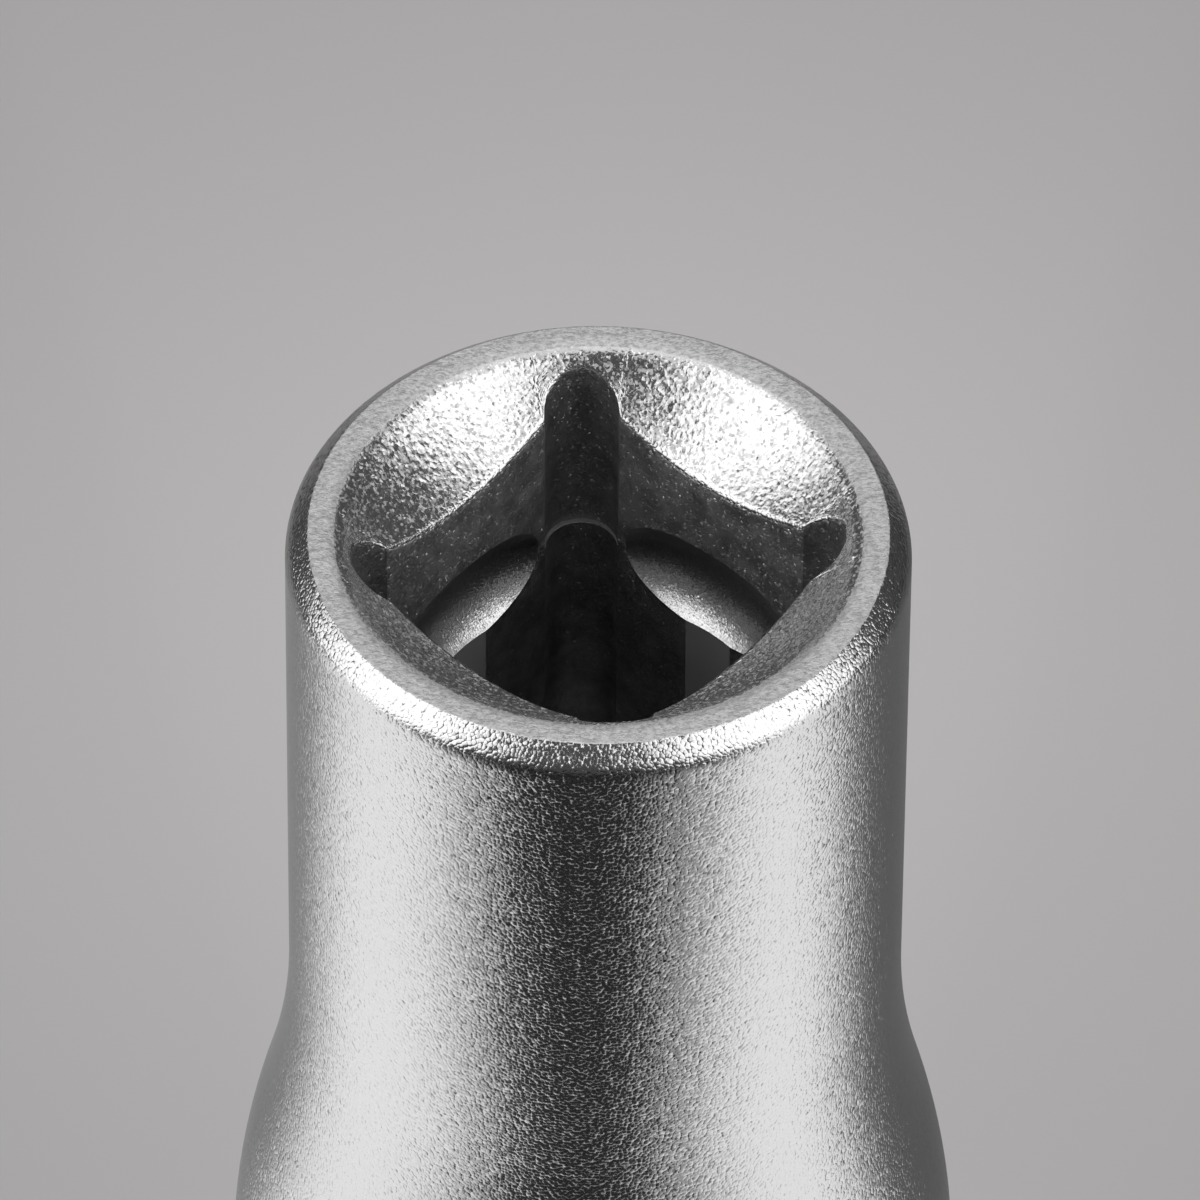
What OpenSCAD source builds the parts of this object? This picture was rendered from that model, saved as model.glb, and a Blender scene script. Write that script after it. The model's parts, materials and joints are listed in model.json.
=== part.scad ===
// Deep socket with a 10 mm hex and a 6.3 mm square drive, standing on its hex end.
// A sprung magnet behind the hex holds the nut and gives way to a long stud.
// Millimetres. The axis is Z, the hex end lies on Z = 0 and the drive end faces +Z.

/* [Socket body] */
// Length over both end faces
length = 50; // [46:1:60]
// Diameter of the drive end
drive_end_d = 11.7; // [11.6:0.1:12.4]
// Diameter of the hex end
hex_end_d = 14; // [13.8:0.1:15]
// Length of the straight drive end, down to the flare
drive_end_l = 11; // [10.5:0.5:13]
// Radius of both arcs of the flare between the two diameters
flare_r = 9; // [6:0.5:12]
// Chamfer round the drive end
drive_chamfer = 0.42; // [0.3:0.02:0.46]
// Chamfer round the hex end
hex_chamfer = 0.45; // [0.3:0.05:0.6]

/* [Square drive] */
// Width of the square across its flats
square_af = 6.46; // [6.4:0.01:6.5]
// Depth of the square below the drive face
square_depth = 9.8; // [9:0.1:10.5]
// Radius of the round lead-in dish
dish_r = 6.6; // [6.4:0.1:6.8]
// Height of the dish's centre above the drive face
dish_lift = 4.42; // [4.3:0.02:4.5]
// Radius of the round relief in each corner
lobe_r = 0.7; // [0.6:0.02:0.74]
// Distance of a corner relief's centre from the axis
lobe_reach = 3.92; // [3.86:0.02:3.96]
// Depth of the ledge where the corner reliefs end
lobe_depth = 4.35; // [4.2:0.05:4.6]
// Distance from the axis to the square's own corners below that ledge
corner_reach = 4.5; // [4.4:0.02:4.54]
// Depth of the turned groove that catches the drive's ball
groove_depth = 4.2; // [4:0.05:4.4]
// Radius of the groove's round profile
groove_r = 1.29; // [1.2:0.01:1.32]
// Distance from the axis to the centre of the groove's profile
groove_reach = 2.55; // [2.5:0.01:2.6]
// Diameter of the pilot bore that runs on from the square
pilot_d = 6.55; // [6.5:0.01:6.6]

/* [Hex socket] */
// Width of the hex across its flats
hex_af = 10.12; // [10.04:0.01:10.18]
// Depth of the hex, to the step that stops the nut
hex_depth = 10.2; // [9.6:0.1:11]
// Radius of the round relief in each hex corner
hex_lobe_r = 0.55; // [0.5:0.01:0.6]
// Distance of a hex relief's centre from the axis
hex_lobe_reach = 5.4; // [5.36:0.01:5.44]
// Diameter of the lead-in cone at the mouth
mouth_d = 12.1; // [11.9:0.05:12.2]
// Diameter of the deep bore for the stud
bore_d = 9; // [8.9:0.05:9.1]

/* [Nut magnet] */
// Diameter of the disc magnet
magnet_d = 6; // [5:0.1:6.2]
// Thickness of the disc magnet
magnet_t = 3; // [2:0.1:3.5]
// Radial clearance of the carrier in the deep bore
carrier_gap = 0.06; // [0.03:0.01:0.1]
// Diameter of the carrier's nose
nose_d = 7.7; // [7.4:0.05:7.8]
// How far the nose stands out of the bore into the hex
nose_proud = 0.6; // [0.2:0.1:0.8]
// Length of the carrier's guided part
guide_l = 5.8; // [5:0.1:7]
// Travel of the carrier into the bore
travel = 12; // [8:0.5:12]

/* [Retaining ring] */
// Wire diameter of the ring
ring_wire = 0.8; // [0.7:0.05:0.9]
// Diameter of the ring's groove
ring_groove_d = 9.9; // [9.8:0.05:10]
// Height of the ring above the hex end
ring_z = 11.65; // [11.5:0.05:11.8]
// Opening of the ring, in degrees
ring_opening = 50; // [30:5:80]

/* [Magnet spring] */
// Wire diameter of the spring
spring_wire = 0.5; // [0.4:0.05:0.55]
// Outside diameter of the spring
spring_d = 8.2; // [8:0.1:8.4]
// Turns from end to end
spring_turns = 9; // [7:1:9]
// Pitch of the first and last turns
spring_end_pitch = 1; // [0.95:0.05:1.2]
// Room left for the squeezed spring at the end of the carrier's travel
squeezed_l = 6.1; // [5.6:0.1:6.5]

/* [Hidden] */
$fn = 96;
over = 1;
drive_r = drive_end_d / 2;
hex_r = hex_end_d / 2;
pilot_r = pilot_d / 2;
bore_r = bore_d / 2;
flat = square_af / 2;
hex_corner = hex_af / 2 / cos(30);
flare_top = length - drive_end_l;
flare_angle = acos(1 - (hex_r - drive_r) / (2 * flare_r));
flare_foot = flare_top - 2 * flare_r * sin(flare_angle);
arc_steps = 12;
mouth_slope = 30;
mouth_depth = (mouth_d - hex_af) / 2 * tan(mouth_slope);
stop_cone_h = 0.5;
ring_slack = 0.05;
ring_gap = 0.01;
ring_mean_r = ring_groove_d / 2 - ring_gap - ring_wire / 2;
nose_z = hex_depth - nose_proud;
shoulder_z = ring_z + ring_wire / 2 + ring_slack;
guide_r = bore_r - carrier_gap;
guide_top = shoulder_z + guide_l;
bore_top = guide_top + travel + squeezed_l;
magnet_gap = 0.02;
magnet_sunk = 0.05;
carrier_edge = 0.25;
magnet_edge = 0.15;
spring_r = (spring_d - spring_wire) / 2;
boss_gap = 0.3;
boss_r = spring_r - spring_wire / 2 - boss_gap;
boss_h = 1.4;
seat_gap = 0.02;
coil_foot = guide_top + seat_gap + spring_wire / 2;
coil_top = bore_top - seat_gap - spring_wire / 2;
mid_pitch = (coil_top - coil_foot - 2 * spring_end_pitch) / (spring_turns - 2);
rings_per_turn = 8;
tube_sides = 6;
coil_rings = spring_turns * rings_per_turn;
end_t = spring_wire / (2 * PI * spring_r);

// Points of a round stretch of outline about a centre, turned from one angle to another
function arc(centre, r, from, to, first = 0) = [for (i = [first : arc_steps])
    let(angle = from + (to - from) * i / arc_steps)
    centre + r * [cos(angle), sin(angle)]];

// Outline of the body on the right of the axis: two straight ends joined by a flare of two arcs
module body_outline() {
    polygon(concat(
        [[0, 0], [hex_r - hex_chamfer, 0], [hex_r, hex_chamfer]],
        arc([hex_r - flare_r, flare_foot], flare_r, 0, flare_angle),
        arc([drive_r + flare_r, flare_top], flare_r, 180 + flare_angle, 180, 1),
        [[drive_r, length - drive_chamfer], [drive_r - drive_chamfer, length], [0, length]]
    ));
}

// Round hole between two heights on the axis
module bore(r, z0, z1) {
    translate([0, 0, z0]) cylinder(r = r, h = z1 - z0);
}

// Round reliefs in the corners of a square or a hex
module corner_reliefs(count, turn, reach, r, z0, z1) {
    for (k = [0 : count - 1])
        rotate(turn + k * 360 / count)
            translate([reach, 0, z0])
                cylinder(r = r, h = z1 - z0, $fn = 32);
}

// Dished, relieved square with its ball groove and pilot bore
module drive_recess() {
    translate([0, 0, length + dish_lift]) sphere(dish_r);
    intersection() {
        translate([-flat, -flat, length - square_depth])
            cube([square_af, square_af, square_depth + over]);
        bore(corner_reach, length - square_depth, length + over);
    }
    corner_reliefs(4, 45, lobe_reach, lobe_r, length - lobe_depth, length + over);
    translate([0, 0, length - groove_depth])
        rotate_extrude()
            translate([groove_reach, 0]) circle(groove_r);
    bore(pilot_r, bore_top - over, length - groove_depth);
}

// Relieved hex with its lead-in cone, nut stop and deep bore
module hex_recess() {
    translate([0, 0, -over]) cylinder(r = hex_corner, h = hex_depth + over, $fn = 6);
    corner_reliefs(6, 0, hex_lobe_reach, hex_lobe_r, -over, hex_depth);
    cylinder(r1 = mouth_d / 2, r2 = hex_af / 2, h = mouth_depth);
    translate([0, 0, hex_depth]) cylinder(r1 = hex_af / 2, r2 = bore_r, h = stop_cone_h);
    bore(bore_r, hex_depth, bore_top);
}

// Square groove that the retaining ring springs into
module ring_groove() {
    half = ring_wire / 2 + ring_slack;
    bore(ring_groove_d / 2, ring_z - half, ring_z + half);
}

module socket_body() {
    color("silver") difference() {
        rotate_extrude() body_outline();
        drive_recess();
        hex_recess();
        ring_groove();
    }
}

// Open ring of round wire that stops the carrier's shoulder
module retaining_ring() {
    color("dimgray")
        translate([0, 0, ring_z])
            rotate(ring_opening / 2)
                rotate_extrude(angle = 360 - ring_opening)
                    translate([ring_mean_r, 0]) circle(ring_wire / 2, $fn = 32);
}

// Turned cup that carries the magnet, guided in the deep bore
module magnet_carrier() {
    color("gray") difference() {
        rotate_extrude() polygon([
            [0, nose_z],
            [nose_d / 2 - carrier_edge, nose_z],
            [nose_d / 2, nose_z + carrier_edge],
            [nose_d / 2, shoulder_z],
            [guide_r, shoulder_z],
            [guide_r, guide_top - carrier_edge],
            [guide_r - carrier_edge, guide_top],
            [boss_r, guide_top],
            [boss_r, guide_top + boss_h - carrier_edge],
            [boss_r - carrier_edge, guide_top + boss_h],
            [0, guide_top + boss_h]
        ]);
        bore(magnet_d / 2 + magnet_gap, nose_z - over, nose_z + magnet_sunk + magnet_t);
    }
}

// Disc magnet bonded in the carrier's nose
module holding_magnet() {
    color("lightgray")
        translate([0, 0, nose_z + magnet_sunk])
            rotate_extrude() polygon([
                [0, 0],
                [magnet_d / 2 - magnet_edge, 0],
                [magnet_d / 2, magnet_edge],
                [magnet_d / 2, magnet_t - magnet_edge],
                [magnet_d / 2 - magnet_edge, magnet_t],
                [0, magnet_t]
            ]);
}

// Height of the coil after t turns: close end turns, an even pitch between them
function coil_z(t) = coil_foot
    + spring_end_pitch * min(t, 1)
    + mid_pitch * min(max(t - 1, 0), spring_turns - 2)
    + spring_end_pitch * max(t - spring_turns + 1, 0);

// Turns within the coil, where t may run straight past either end by a wire's diameter
function coil_turn(t) = min(max(t, 0), spring_turns);

// Point on the middle of the wire after t turns
function coil_point(t) = let(
    angle = 360 * coil_turn(t),
    past = (t - coil_turn(t)) * 2 * PI * spring_r)
    [spring_r * cos(angle) - past * sin(angle),
     spring_r * sin(angle) + past * cos(angle),
     coil_z(coil_turn(t))];

// Corner k of the wire's section after t turns, in the plane that holds the axis
function coil_corner(t, k) = let(
    angle = 360 * coil_turn(t),
    out = spring_wire / 2 * cos(360 * k / tube_sides),
    up = spring_wire / 2 * sin(360 * k / tube_sides))
    coil_point(t) + [out * cos(angle), out * sin(angle), up];

// Turns at which the wire has a section, with a short straight end beyond the first and the last
coil_ts = concat(
    [-end_t],
    [for (i = [0 : coil_rings]) i / rings_per_turn],
    [spring_turns + end_t]);

// Least clear gap between turns, measured on points half a turn or more apart
coil_gaps = [for (a = coil_ts) for (b = coil_ts) if (b - a > 0.5)
    norm(coil_point(a) - coil_point(b)) - spring_wire];
echo(spring_least_gap_mm = min(coil_gaps));

// One unbroken wire between the carrier's back and the floor of the deep bore
module magnet_spring() {
    last = len(coil_ts) - 1;
    points = [for (t = coil_ts) for (k = [0 : tube_sides - 1]) coil_corner(t, k)];
    walls = [for (i = [0 : last - 1]) for (k = [0 : tube_sides - 1])
        let(a = i * tube_sides + k, b = i * tube_sides + (k + 1) % tube_sides)
        each [[a, a + tube_sides, b], [b, a + tube_sides, b + tube_sides]]];
    first_cap = [for (k = [1 : tube_sides - 2]) [0, k, k + 1]];
    last_cap = [for (k = [1 : tube_sides - 2]) [for (c = [0, k + 1, k]) last * tube_sides + c]];
    color("darkgray") polyhedron(points, concat(walls, first_cap, last_cap));
}

socket_body();
retaining_ring();
magnet_carrier();
holding_magnet();
magnet_spring();
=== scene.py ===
"""Looks of a deep socket with a square drive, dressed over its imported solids, in metres."""
import json
import logging
import math
from dataclasses import dataclass, field
from enum import IntEnum

import bpy
import numpy as np
from mathutils import Matrix, Quaternion, Vector

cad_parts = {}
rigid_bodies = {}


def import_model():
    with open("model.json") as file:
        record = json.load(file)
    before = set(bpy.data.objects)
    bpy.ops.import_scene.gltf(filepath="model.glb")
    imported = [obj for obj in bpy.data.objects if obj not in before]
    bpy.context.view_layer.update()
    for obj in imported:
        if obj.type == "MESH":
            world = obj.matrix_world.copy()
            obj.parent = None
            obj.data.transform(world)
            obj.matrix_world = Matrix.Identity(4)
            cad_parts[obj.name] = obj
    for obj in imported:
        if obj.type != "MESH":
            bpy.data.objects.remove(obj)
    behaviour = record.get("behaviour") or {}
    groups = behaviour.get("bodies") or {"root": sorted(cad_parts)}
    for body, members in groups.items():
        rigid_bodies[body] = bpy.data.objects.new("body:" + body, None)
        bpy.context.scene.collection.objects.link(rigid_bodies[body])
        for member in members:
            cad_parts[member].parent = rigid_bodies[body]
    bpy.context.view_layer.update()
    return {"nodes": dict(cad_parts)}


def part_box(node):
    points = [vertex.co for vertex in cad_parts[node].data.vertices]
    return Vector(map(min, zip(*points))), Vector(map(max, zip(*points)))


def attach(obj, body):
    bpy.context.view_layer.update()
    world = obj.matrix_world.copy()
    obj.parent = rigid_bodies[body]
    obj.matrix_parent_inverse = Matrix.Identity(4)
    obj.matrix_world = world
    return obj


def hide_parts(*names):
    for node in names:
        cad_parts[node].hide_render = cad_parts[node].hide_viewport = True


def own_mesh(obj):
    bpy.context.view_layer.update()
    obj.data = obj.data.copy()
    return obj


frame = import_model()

MM = 0.001
SHARP_DEG = 38.0  # edges that turn by more stay sharp
log = logging.getLogger("deep_socket")

Colour = tuple[float, float, float, float]
Profile = list[tuple[np.ndarray, np.ndarray, int | np.ndarray]]


def linear(code: str) -> Colour:
    """Turns an sRGB hex colour into linear light.

    Args:
        code: six hex digits.

    Returns:
        Red, green, blue and an alpha of 1.
    """
    parts = [int(code[i:i + 2], 16) / 255 for i in (0, 2, 4)]
    red, green, blue = (c / 12.92 if c <= 0.04045 else ((c + 0.055) / 1.055) ** 2.4 for c in parts)
    return red, green, blue, 1.0


def add_node(tree: bpy.types.NodeTree, kind: str, inputs: dict | None = None, **settings) -> bpy.types.Node:
    """Adds a shader node with its settings and links.

    Args:
        tree: the tree that gets the node.
        kind: Blender's type name of the node.
        inputs: values, or output sockets to link, by input name or index.
        **settings: properties of the node.

    Returns:
        The new node.
    """
    node = tree.nodes.new(kind)
    for name, value in settings.items():
        setattr(node, name, value)
    for name, value in (inputs or {}).items():
        if isinstance(value, bpy.types.NodeSocket):
            tree.links.new(value, node.inputs[name])
        else:
            node.inputs[name].default_value = value
    return node


def empty_material(name: str) -> tuple[bpy.types.Material, bpy.types.NodeTree]:
    """Makes a material whose node tree holds nothing yet.

    Args:
        name: the material's name.

    Returns:
        The material and its tree.
    """
    made = bpy.data.materials.new(name)
    made.use_nodes = True
    made.node_tree.nodes.clear()
    return made, made.node_tree


@dataclass(frozen=True)
class GroundFace:
    """The drive end's flat face, ground straight across, whose grit leaves a dull pale grain."""

    inner_mm: float
    outer_mm: float
    top_mm: float
    colour: str = "bebebe"
    scored: str = "929292"
    scored_range: tuple[float, float] = (0.36, 0.6)
    roughness: float = 0.48
    stroke_mm: float = 0.1125
    stroke_width_mm: float = 0.07
    stroke_depth_mm: float = 0.028
    lay_deg: float = 40.0
    ragged_mm: float = 0.05  # how far the face's edges wander
    edge_mm: float = 0.008  # half the width over which the face gives way to the dents
    depth_mm: float = 0.05  # how far the wheel reached below the top
    depth_edge_mm: float = 0.01


@dataclass(frozen=True)
class BlastedChrome:
    """Chrome plate over blasted, forged, turned or peened steel: each dent is a curved mirror with its glint."""

    name: str = "blasted_chrome"
    colour: str = "b9b9b9"
    roughness: float = 0.2
    dent_mm: float = 0.072
    dent_deg: float = 4.6  # slope of a dent's wall at half a dent from its middle
    rim_share: float = 0.6  # distance in dents where the wall stops getting steeper
    tilt_deg: float = 7.5  # most that a whole dent leans, which few of them do
    clouds: str = ""  # a second colour in soft patches
    cloud_mm: float = 0.5
    cloud_range: tuple[float, float] = (0.35, 0.65)
    dull_share: float = 0.0  # share of small grains that are less bright
    dull_roughness: float = 0.65
    dull_mm: float = 0.055
    haze: float = 0.0  # a thin film that pales the plate at a flat angle
    face: GroundFace | None = None

    def material(self) -> bpy.types.Material:
        """Builds the dented plate, with the ground face where the piece has one.

        Returns:
            The material.
        """
        made, tree = empty_material(self.name)
        place = add_node(tree, "ShaderNodeTexCoord").outputs["Object"]
        normal = self.dent(tree, place)
        shader = add_node(
            tree, "ShaderNodeBsdfPrincipled",
            {"Base Color": linear(self.colour), "Metallic": 1.0, "Roughness": self.roughness,
             "Sheen Weight": self.haze, "Normal": normal})
        if self.clouds:
            self.cloud(tree, place, shader)
        if self.dull_share:
            self.dull(tree, place, shader)
        if self.face:
            self.grind(tree, place, shader, normal)
        add_node(tree, "ShaderNodeOutputMaterial", {"Surface": shader.outputs["BSDF"]})
        return made

    def dent(self, tree: bpy.types.NodeTree, place: bpy.types.NodeSocket) -> bpy.types.NodeSocket:
        """Bends the normal into round dents, steepest at their rims, and leans a few of them.

        Args:
            tree: the material's tree.
            place: the point on the object.

        Returns:
            The dented normal.
        """
        upright = add_node(tree, "ShaderNodeNewGeometry").outputs["Normal"]
        cells = add_node(
            tree, "ShaderNodeTexVoronoi", {"Vector": place, "Scale": 1 / (self.dent_mm * MM)}, feature="F1")
        across = add_node(
            tree, "ShaderNodeVectorMath", {0: place, 1: cells.outputs["Position"]}, operation="SUBTRACT")
        far = add_node(
            tree, "ShaderNodeMath", {0: cells.outputs["Distance"], 1: self.rim_share}, operation="MINIMUM")
        steeper = add_node(tree, "ShaderNodeMath", {0: far.outputs[0], 1: far.outputs[0]}, operation="MULTIPLY")
        curled = add_node(
            tree, "ShaderNodeVectorMath",
            {0: across.outputs[0], "Scale": steeper.outputs[0]}, operation="SCALE")
        bend = math.tan(math.radians(self.dent_deg)) / (0.5 ** 3 * self.dent_mm * MM)
        hollowed = add_node(
            tree, "ShaderNodeVectorMath",
            {0: curled.outputs[0], 1: (bend, bend, bend), 2: upright}, operation="MULTIPLY_ADD")
        way = add_node(
            tree, "ShaderNodeVectorMath",
            {0: cells.outputs["Color"], 1: (2.0, 2.0, 2.0), 2: (-1.0, -1.0, -1.0)}, operation="MULTIPLY_ADD")
        squared = add_node(
            tree, "ShaderNodeVectorMath", {0: way.outputs[0], 1: way.outputs[0]}, operation="MULTIPLY")
        cubed = add_node(
            tree, "ShaderNodeVectorMath", {0: way.outputs[0], 1: squared.outputs[0]}, operation="MULTIPLY")
        few = add_node(
            tree, "ShaderNodeVectorMath", {0: cubed.outputs[0], 1: squared.outputs[0]}, operation="MULTIPLY")
        slope = math.tan(math.radians(self.tilt_deg))
        leaned = add_node(
            tree, "ShaderNodeVectorMath",
            {0: few.outputs[0], 1: (slope, slope, slope), 2: hollowed.outputs[0]}, operation="MULTIPLY_ADD")
        return add_node(
            tree, "ShaderNodeVectorMath", {0: leaned.outputs[0]}, operation="NORMALIZE").outputs[0]

    def cloud(self, tree: bpy.types.NodeTree, place: bpy.types.NodeSocket, shader: bpy.types.Node) -> None:
        """Mixes the second colour into the plate in soft patches.

        Args:
            tree: the material's tree.
            place: the point on the object.
            shader: the plate's shader, which gets the mixed colour.
        """
        low, high = self.cloud_range
        patches = add_node(
            tree, "ShaderNodeTexNoise", {"Vector": place, "Scale": 1 / (self.cloud_mm * MM), "Detail": 3.0})
        spread = add_node(
            tree, "ShaderNodeMapRange", {"Value": patches.outputs[0], "From Min": low, "From Max": high})
        grey = add_node(
            tree, "ShaderNodeMix",
            {0: spread.outputs[0], 6: linear(self.clouds), 7: linear(self.colour)}, data_type="RGBA")
        tree.links.new(grey.outputs[2], shader.inputs["Base Color"])

    def dull(self, tree: bpy.types.NodeTree, place: bpy.types.NodeSocket, shader: bpy.types.Node) -> None:
        """Dulls a share of the grains.

        Args:
            tree: the material's tree.
            place: the point on the object.
            shader: the plate's shader, which gets the roughness.
        """
        specks = add_node(
            tree, "ShaderNodeTexVoronoi", {"Vector": place, "Scale": 1 / (self.dull_mm * MM)}, feature="F1")
        chance = add_node(tree, "ShaderNodeSeparateColor", {0: specks.outputs["Color"]})
        dulled = add_node(
            tree, "ShaderNodeMapRange",
            {"Value": chance.outputs["Green"], "From Min": 1 - self.dull_share, "From Max": 1.0,
             "To Min": self.roughness, "To Max": self.dull_roughness})
        tree.links.new(dulled.outputs[0], shader.inputs["Roughness"])

    def grind(self, tree: bpy.types.NodeTree, place: bpy.types.NodeSocket,
              shader: bpy.types.Node, dented: bpy.types.NodeSocket) -> None:
        """Lays the ground face over the dents, up to ragged edges.

        Args:
            tree: the material's tree.
            place: the point on the object.
            shader: the plate's shader, which gets the mixed values.
            dented: the dents' normal, which the strokes replace on the face.
        """
        face = self.face
        mask = self.ground_mask(tree, place)
        turned = add_node(
            tree, "ShaderNodeMapping",
            {"Vector": place, "Rotation": (0.0, 0.0, -math.radians(face.lay_deg))}, vector_type="POINT")
        along, wide = 1 / (face.stroke_mm * MM), 1 / (face.stroke_width_mm * MM)
        drawn = add_node(
            tree, "ShaderNodeMapping",
            {"Vector": turned.outputs[0], "Scale": (along, wide, along)}, vector_type="POINT")
        strokes = add_node(
            tree, "ShaderNodeTexNoise",
            {"Vector": drawn.outputs[0], "Scale": 1.0, "Detail": 3.0, "Roughness": 0.8})
        bump = add_node(
            tree, "ShaderNodeBump",
            {"Height": strokes.outputs[0], "Distance": face.stroke_depth_mm * MM, "Strength": 1.0})
        mixed = add_node(
            tree, "ShaderNodeMix", {0: mask, 4: dented, 5: bump.outputs["Normal"]}, data_type="VECTOR")
        tree.links.new(mixed.outputs[1], shader.inputs["Normal"])
        plate = shader.inputs["Roughness"].links[0].from_socket if self.dull_share else self.roughness
        dull = add_node(tree, "ShaderNodeMix", {0: mask, 2: plate, 3: face.roughness}, data_type="FLOAT")
        tree.links.new(dull.outputs[0], shader.inputs["Roughness"])
        low, high = face.scored_range
        worn = add_node(
            tree, "ShaderNodeMapRange", {"Value": strokes.outputs[0], "From Min": low, "From Max": high})
        grey = add_node(
            tree, "ShaderNodeMix",
            {0: worn.outputs[0], 6: linear(face.scored), 7: linear(face.colour)}, data_type="RGBA")
        pale = add_node(
            tree, "ShaderNodeMix", {0: mask, 6: linear(self.colour), 7: grey.outputs[2]}, data_type="RGBA")
        tree.links.new(pale.outputs[2], shader.inputs["Base Color"])

    def ground_mask(self, tree: bpy.types.NodeTree, place: bpy.types.NodeSocket) -> bpy.types.NodeSocket:
        """Finds the ground face: a ring with chipped edges, near the top of the piece.

        Args:
            tree: the material's tree.
            place: the point on the object.

        Returns:
            1 on the face and 0 off it.
        """
        face = self.face
        chips = add_node(
            tree, "ShaderNodeTexNoise", {"Vector": place, "Scale": 1 / (self.dent_mm * MM), "Detail": 1.0})
        level = add_node(
            tree, "ShaderNodeVectorMath", {0: place, 1: (1.0, 1.0, 0.0)}, operation="MULTIPLY")
        radius = add_node(tree, "ShaderNodeVectorMath", {0: level.outputs[0]}, operation="LENGTH")
        reach = add_node(
            tree, "ShaderNodeMath",
            {0: chips.outputs[0], 1: 2 * face.ragged_mm * MM, 2: radius.outputs["Value"]}, operation="MULTIPLY_ADD")
        height = add_node(tree, "ShaderNodeSeparateXYZ", {0: place})
        inner, outer = face.inner_mm + face.ragged_mm, face.outer_mm + face.ragged_mm
        foot = face.top_mm - face.depth_mm
        bands = [
            add_node(tree, "ShaderNodeMapRange", {"Value": value, "From Min": off * MM, "From Max": on * MM})
            for value, off, on in (
                (reach.outputs[0], inner - face.edge_mm, inner + face.edge_mm),
                (reach.outputs[0], outer + face.edge_mm, outer - face.edge_mm),
                (height.outputs["Z"], foot - face.depth_edge_mm, foot + face.depth_edge_mm))]
        ring = add_node(
            tree, "ShaderNodeMath", {0: bands[0].outputs[0], 1: bands[1].outputs[0]}, operation="MULTIPLY")
        return add_node(
            tree, "ShaderNodeMath", {0: ring.outputs[0], 1: bands[2].outputs[0]}, operation="MULTIPLY").outputs[0]


@dataclass(frozen=True)
class PlainMetal:
    """Bare steel or plate with an even fine grain, for the pieces inside the bore."""

    name: str
    colour: str
    roughness: float
    grain_mm: float = 0.08
    grain_depth_mm: float = 0.002

    def material(self) -> bpy.types.Material:
        """Builds the metal with a shallow grain.

        Returns:
            The material.
        """
        made, tree = empty_material(self.name)
        place = add_node(tree, "ShaderNodeTexCoord").outputs["Object"]
        grain = add_node(
            tree, "ShaderNodeTexNoise",
            {"Vector": place, "Scale": 1 / (self.grain_mm * MM), "Detail": 2.0})
        bump = add_node(
            tree, "ShaderNodeBump",
            {"Height": grain.outputs[0], "Distance": self.grain_depth_mm * MM, "Strength": 1.0})
        shader = add_node(
            tree, "ShaderNodeBsdfPrincipled",
            {"Base Color": linear(self.colour), "Metallic": 1.0, "Roughness": self.roughness,
             "Normal": bump.outputs["Normal"]})
        add_node(tree, "ShaderNodeOutputMaterial", {"Surface": shader.outputs["BSDF"]})
        return made


class BodyFinish(IntEnum):
    """Which finish a face of the socket's body has, in the order of its material slots."""

    BLASTED = 0
    WALL = 1
    # A darker copy of the wall's finish: painted shade in the reliefs and deep in the square
    CORNER = 2
    GROOVE = 3
    PILOT = 4
    # Also paints a dark line of shade across the ledge
    BORE = 5
    DISH = 6


@dataclass
class Skin:
    """Vertices and faces of one closed piece, gathered ring by ring, in millimetres."""

    points: list[np.ndarray] = field(default_factory=list)
    faces: list[tuple[int, ...]] = field(default_factory=list)
    finishes: list[int] = field(default_factory=list)
    count: int = 0

    def ring(self, xyz: np.ndarray) -> np.ndarray:
        """Adds one ring of points.

        Args:
            xyz: one row per point.

        Returns:
            The new points' indices.
        """
        self.points.append(xyz)
        made = np.arange(self.count, self.count + len(xyz))
        self.count += len(xyz)
        return made

    def band(self, low: np.ndarray, high: np.ndarray, finish: int | np.ndarray) -> None:
        """Joins two rings of equal counts with quads.

        Args:
            low: indices of the first ring.
            high: indices of the next ring.
            finish: material slot of all quads, or one per quad.
        """
        self.faces += zip(low, high, np.roll(high, -1), np.roll(low, -1))
        self.finishes += list(np.broadcast_to(finish, len(low)))

    def stitch(self, low: np.ndarray, high: np.ndarray,
               turns: tuple[np.ndarray, np.ndarray], finish: int) -> None:
        """Joins two rings of different counts with triangles, in the order of their angles.

        Args:
            low: indices of the first ring.
            high: indices of the next ring.
            turns: each ring's rising angles, both within one turn from the same start.
            finish: material slot of the triangles.
        """
        i = j = 0
        first, second = (np.append(t, t[0] + 2 * math.pi) for t in turns)
        while i < len(low) or j < len(high):
            a, b = low[i % len(low)], high[j % len(high)]
            if j == len(high) or (i < len(low) and first[i + 1] <= second[j + 1]):
                i += 1
                self.faces.append((a, b, low[i % len(low)]))
            else:
                j += 1
                self.faces.append((a, b, high[j % len(high)]))
            self.finishes.append(finish)

    def piece(self, name: str, materials: list[bpy.types.Material]) -> bpy.types.Object:
        """Makes the Blender object, smooth but for its true corners.

        Args:
            name: the object's name.
            materials: one per material slot.

        Returns:
            The object, linked to the scene.
        """
        mesh = bpy.data.meshes.new(name)
        mesh.from_pydata(np.concatenate(self.points) * MM, [], self.faces)
        for made in materials:
            mesh.materials.append(made)
        mesh.polygons.foreach_set("material_index", np.array(self.finishes, dtype=np.int32))
        mesh.shade_smooth()
        mesh.set_sharp_from_angle(angle=math.radians(SHARP_DEG))
        mesh.validate()
        made = bpy.data.objects.new(name, mesh)
        bpy.context.scene.collection.objects.link(made)
        weighted = made.modifiers.new("Even flats", "WEIGHTED_NORMAL")
        weighted.keep_sharp = True
        return made


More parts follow.
